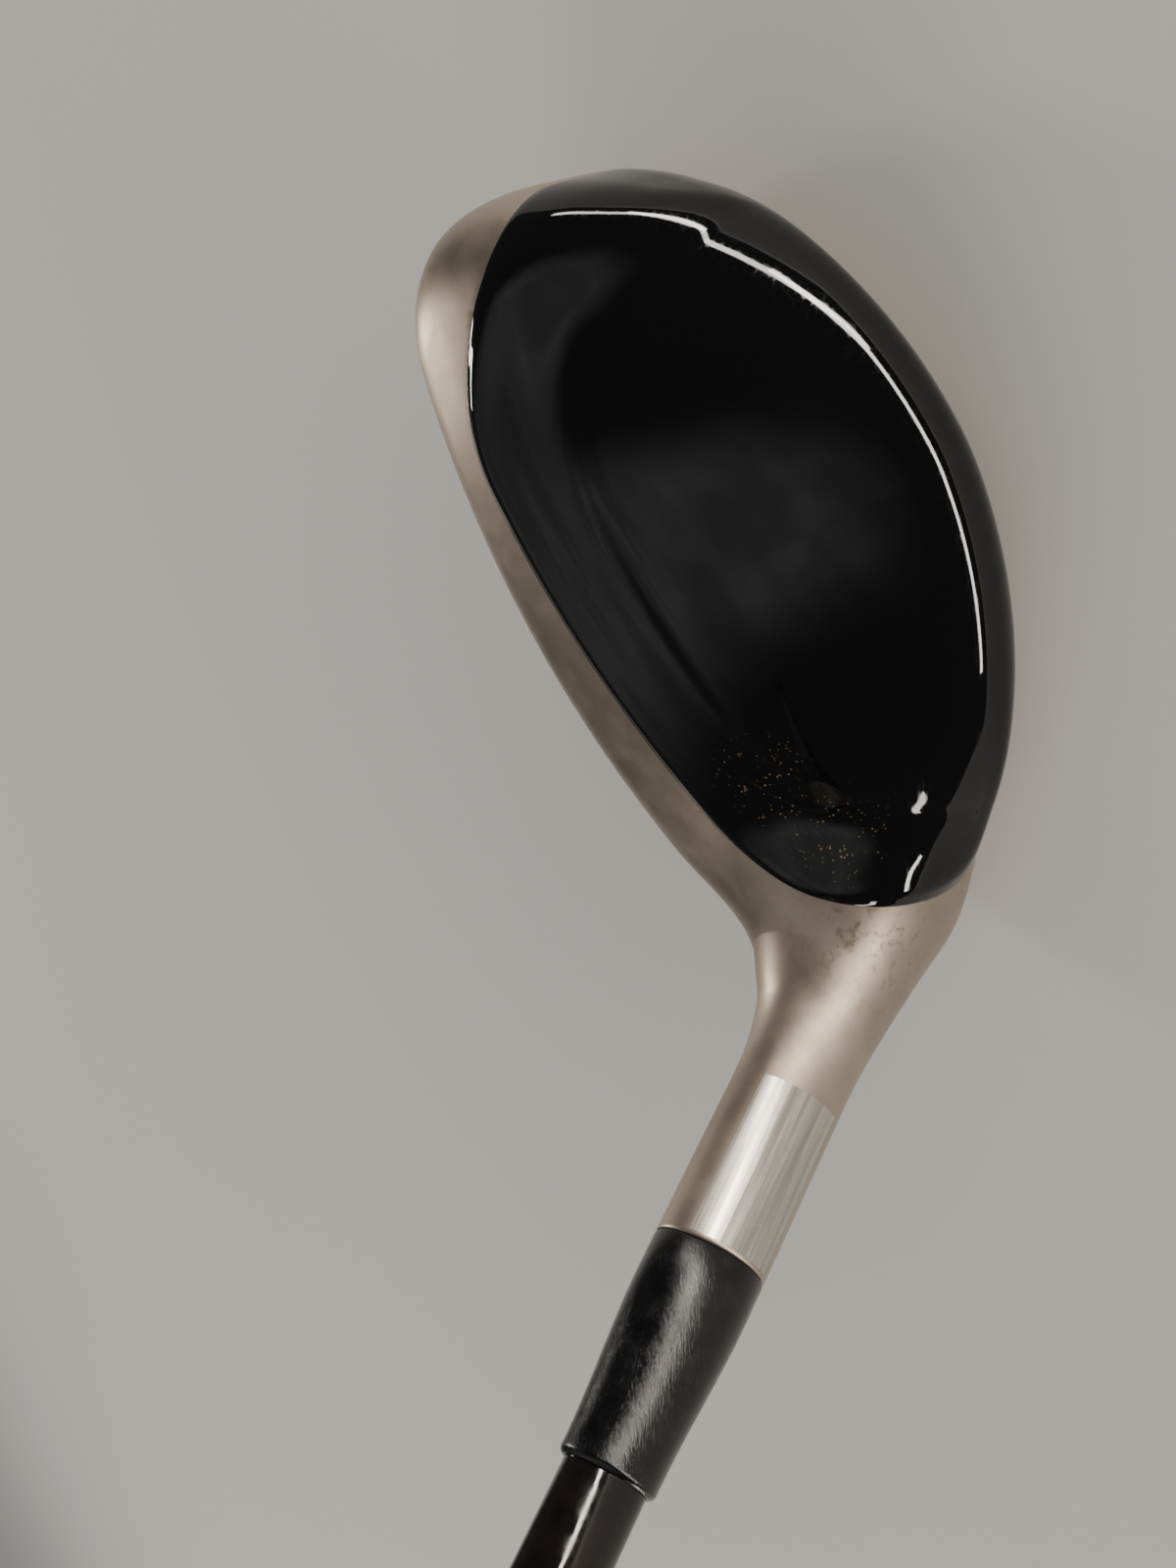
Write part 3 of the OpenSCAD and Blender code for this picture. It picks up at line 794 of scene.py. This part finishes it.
LOOKS = {
    "satin_pewter_steel": satin_pewter,
    "blasted_face_steel": blasted_face,
    "gloss_black_enamel": gloss_black,
    "brushed_sole_steel": brushed_sole,
    "clear_adhesive": adhesive,
    "dark_tungsten": tungsten,
    "black_nylon": nylon,
    "amber_gum": gum,
    "turned_brass": brass,
    "black_ferrule_plastic": ferrule_plastic,
    "black_graphite_lacquer": graphite_lacquer,
    "dark_red_paint": red_paint,
    "silver_label_film": label_film,
    "paper_tape": paper,
    "black_grip_rubber": rubber,
    "black_cap_rubber": cap_rubber,
}
MATERIALS = {name: material(name, build) for name, build in LOOKS.items()}


def dress(obj, slot):
    """Gives a piece its one material."""
    obj.data.materials.clear()
    obj.data.materials.append(MATERIALS[slot])


# ---------------------------------------------------------------------------------------------
# Pieces: those made here stand for the CAD nodes named beside them, and the rest are kept
# ---------------------------------------------------------------------------------------------
MADE = [
    (make_body, "head_body", "satin_pewter_steel"),
    (make_crown, "crown_plate", "gloss_black_enamel"),
    (make_face, "face_plate", "blasted_face_steel"),
    (make_label, "hosel_label", "silver_label_film"),
    (make_ferrule, "ferrule", "black_ferrule_plastic"),
    (make_shaft, "shaft", "black_graphite_lacquer"),
    (make_band, "shaft_band", "dark_red_paint"),
    (make_grip, "grip", "black_grip_rubber"),
    (make_cap, "grip_cap", "black_cap_rubber"),
]
for make, node, slot in MADE:
    piece = make()
    dress(piece, slot)
    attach(piece, "root")
    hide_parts(node)

KEPT = {
    "sole_plate": "brushed_sole_steel",
    "sole_plate_bond": "clear_adhesive",
    "rear_weight": "dark_tungsten",
    "rear_weight_seal": "black_nylon",
    "tungsten_bar": "dark_tungsten",
    "damping_gum": "amber_gum",
    "hosel_bond": "clear_adhesive",
    "tip_plug": "turned_brass",
    "grip_tape": "paper_tape",
}
BROKEN_EDGES = ("sole_plate", "rear_weight")
for node, slot in KEPT.items():
    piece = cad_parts[node]
    dress(piece, slot)
    if node in BROKEN_EDGES:
        edge = piece.modifiers.new("edge", "BEVEL")
        edge.width = 0.2 * MM
        edge.segments = 3
        edge.limit_method = "ANGLE"
        edge.angle_limit = math.radians(40)


# ---------------------------------------------------------------------------------------------
# Floor, light and camera. The floor's half size is in metres, and places are in millimetres
# ---------------------------------------------------------------------------------------------
FLOOR_HALF = 30.0
LAMP_COLOUR = "#fff8ee"
LAMP_TARGET = Vector((0, -10, 20))
LAMPS = [  # name, place, width and height, watts
    ("window", (0, -1300, 270), (3600, 90), 32),
    ("front", (600, 1100, 560), (260, 200), 4),
    ("toe", (1250, -850, 230), (1500, 80), 9),
    ("heel", (-1050, 400, 450), (1100, 110), 7),
]
CAMERA_LENS, CAMERA_SENSOR = 38.25, 36
CAMERA_AT = Vector((-9.69, -165.15, 141.87))
CAMERA_RIGHT = Vector((-0.4155, -0.4863, -0.7686))
CAMERA_AHEAD = Vector((-0.0239, 0.8506, -0.5253))


def make_floor():
    """The floor that the club stands on."""
    corners = [(-FLOOR_HALF, -FLOOR_HALF, 0), (FLOOR_HALF, -FLOOR_HALF, 0),
               (FLOOR_HALF, FLOOR_HALF, 0), (-FLOOR_HALF, FLOOR_HALF, 0)]
    mesh = bpy.data.meshes.new("floor")
    mesh.from_pydata(corners, [], [(0, 1, 2, 3)])
    mesh.materials.append(material("plain_floor", plain_floor))
    made = bpy.data.objects.new("floor", mesh)
    bpy.context.scene.collection.objects.link(made)


def hang_lamp(name, place, size, power):
    """A soft rectangular light, aimed at the head."""
    data = bpy.data.lights.new(name, "AREA")
    data.shape = "RECTANGLE"
    data.size, data.size_y = size[0] * MM, size[1] * MM
    data.energy = power
    data.color = linear(LAMP_COLOUR)[:3]
    made = bpy.data.objects.new(name, data)
    made.location = Vector(place) * MM
    made.rotation_mode = "QUATERNION"
    made.rotation_quaternion = (LAMP_TARGET - Vector(place)).to_track_quat("-Z", "Y")
    bpy.context.scene.collection.objects.link(made)


def soft_sky(tree, background):
    """Soft grey room with a bright strip overhead. Gloss mirrors it dimmer than it lights."""
    room_light, gloss_loss, strip_light = 0.34, 0.25, 0.62
    way = add(tree, "ShaderNodeTexCoord").outputs["Generated"]
    parts = add(tree, "ShaderNodeSeparateXYZ", {"Vector": way})
    shifted = add(tree, "ShaderNodeMath", {0: parts.outputs["X"], 1: 0.07}, operation="ADD")
    aside = add(tree, "ShaderNodeMath", {0: shifted}, operation="ABSOLUTE")
    high = add(tree, "ShaderNodeMapRange", {"Value": parts.outputs["Z"], **rescale(0, 1, (0.58, 0.86))},
               interpolation_type="SMOOTHSTEP")
    narrow = add(tree, "ShaderNodeMapRange", {"Value": aside, **rescale(1, 0, (0.16, 0.46))},
                 interpolation_type="SMOOTHSTEP")
    clouds = add(tree, "ShaderNodeTexNoise", {"Vector": way, "Scale": 1 / 0.35, "Detail": 2.0,
                                              "Roughness": 0.55}).outputs["Fac"]
    uneven = add(tree, "ShaderNodeMapRange", {"Value": clouds, **rescale(0.5, 1.0)},
                 interpolation_type="SMOOTHSTEP")
    strip = add(tree, "ShaderNodeMath", {0: high, 1: narrow}, operation="MULTIPLY")
    bright = add(tree, "ShaderNodeMath", {0: uneven, 1: strip_light}, operation="MULTIPLY")
    mirrored = add(tree, "ShaderNodeLightPath").outputs["Is Glossy Ray"]
    loss = add(tree, "ShaderNodeMath", {0: mirrored, 1: gloss_loss}, operation="MULTIPLY")
    room = add(tree, "ShaderNodeMath", {0: room_light, 1: loss}, operation="SUBTRACT")
    glow = add(tree, "ShaderNodeMath", {0: strip, 1: bright, 2: room}, operation="MULTIPLY_ADD")
    tree.links.new(glow.outputs[0], background.inputs["Strength"])
    background.inputs["Color"].default_value = linear("#f0efec")


def place_camera():
    """The camera, behind and above the head, rolled so that the toe is at the top."""
    data = bpy.data.cameras.new("camera")
    data.lens = CAMERA_LENS
    data.sensor_width = CAMERA_SENSOR
    data.clip_start = 0.005
    data.clip_end = 100
    ahead = CAMERA_AHEAD.normalized()
    up = CAMERA_RIGHT.normalized().cross(ahead).normalized()
    turn = Matrix((ahead.cross(up), up, -ahead)).transposed().to_4x4()
    made = bpy.data.objects.new("camera", data)
    made.matrix_world = Matrix.Translation(CAMERA_AT * MM) @ turn
    bpy.context.scene.collection.objects.link(made)
    bpy.context.scene.camera = made


make_floor()
world = bpy.data.worlds.new("studio")
world.use_nodes = True
bpy.context.scene.world = world
soft_sky(world.node_tree, world.node_tree.nodes["Background"])
for lamp in LAMPS:
    hang_lamp(*lamp)
place_camera()
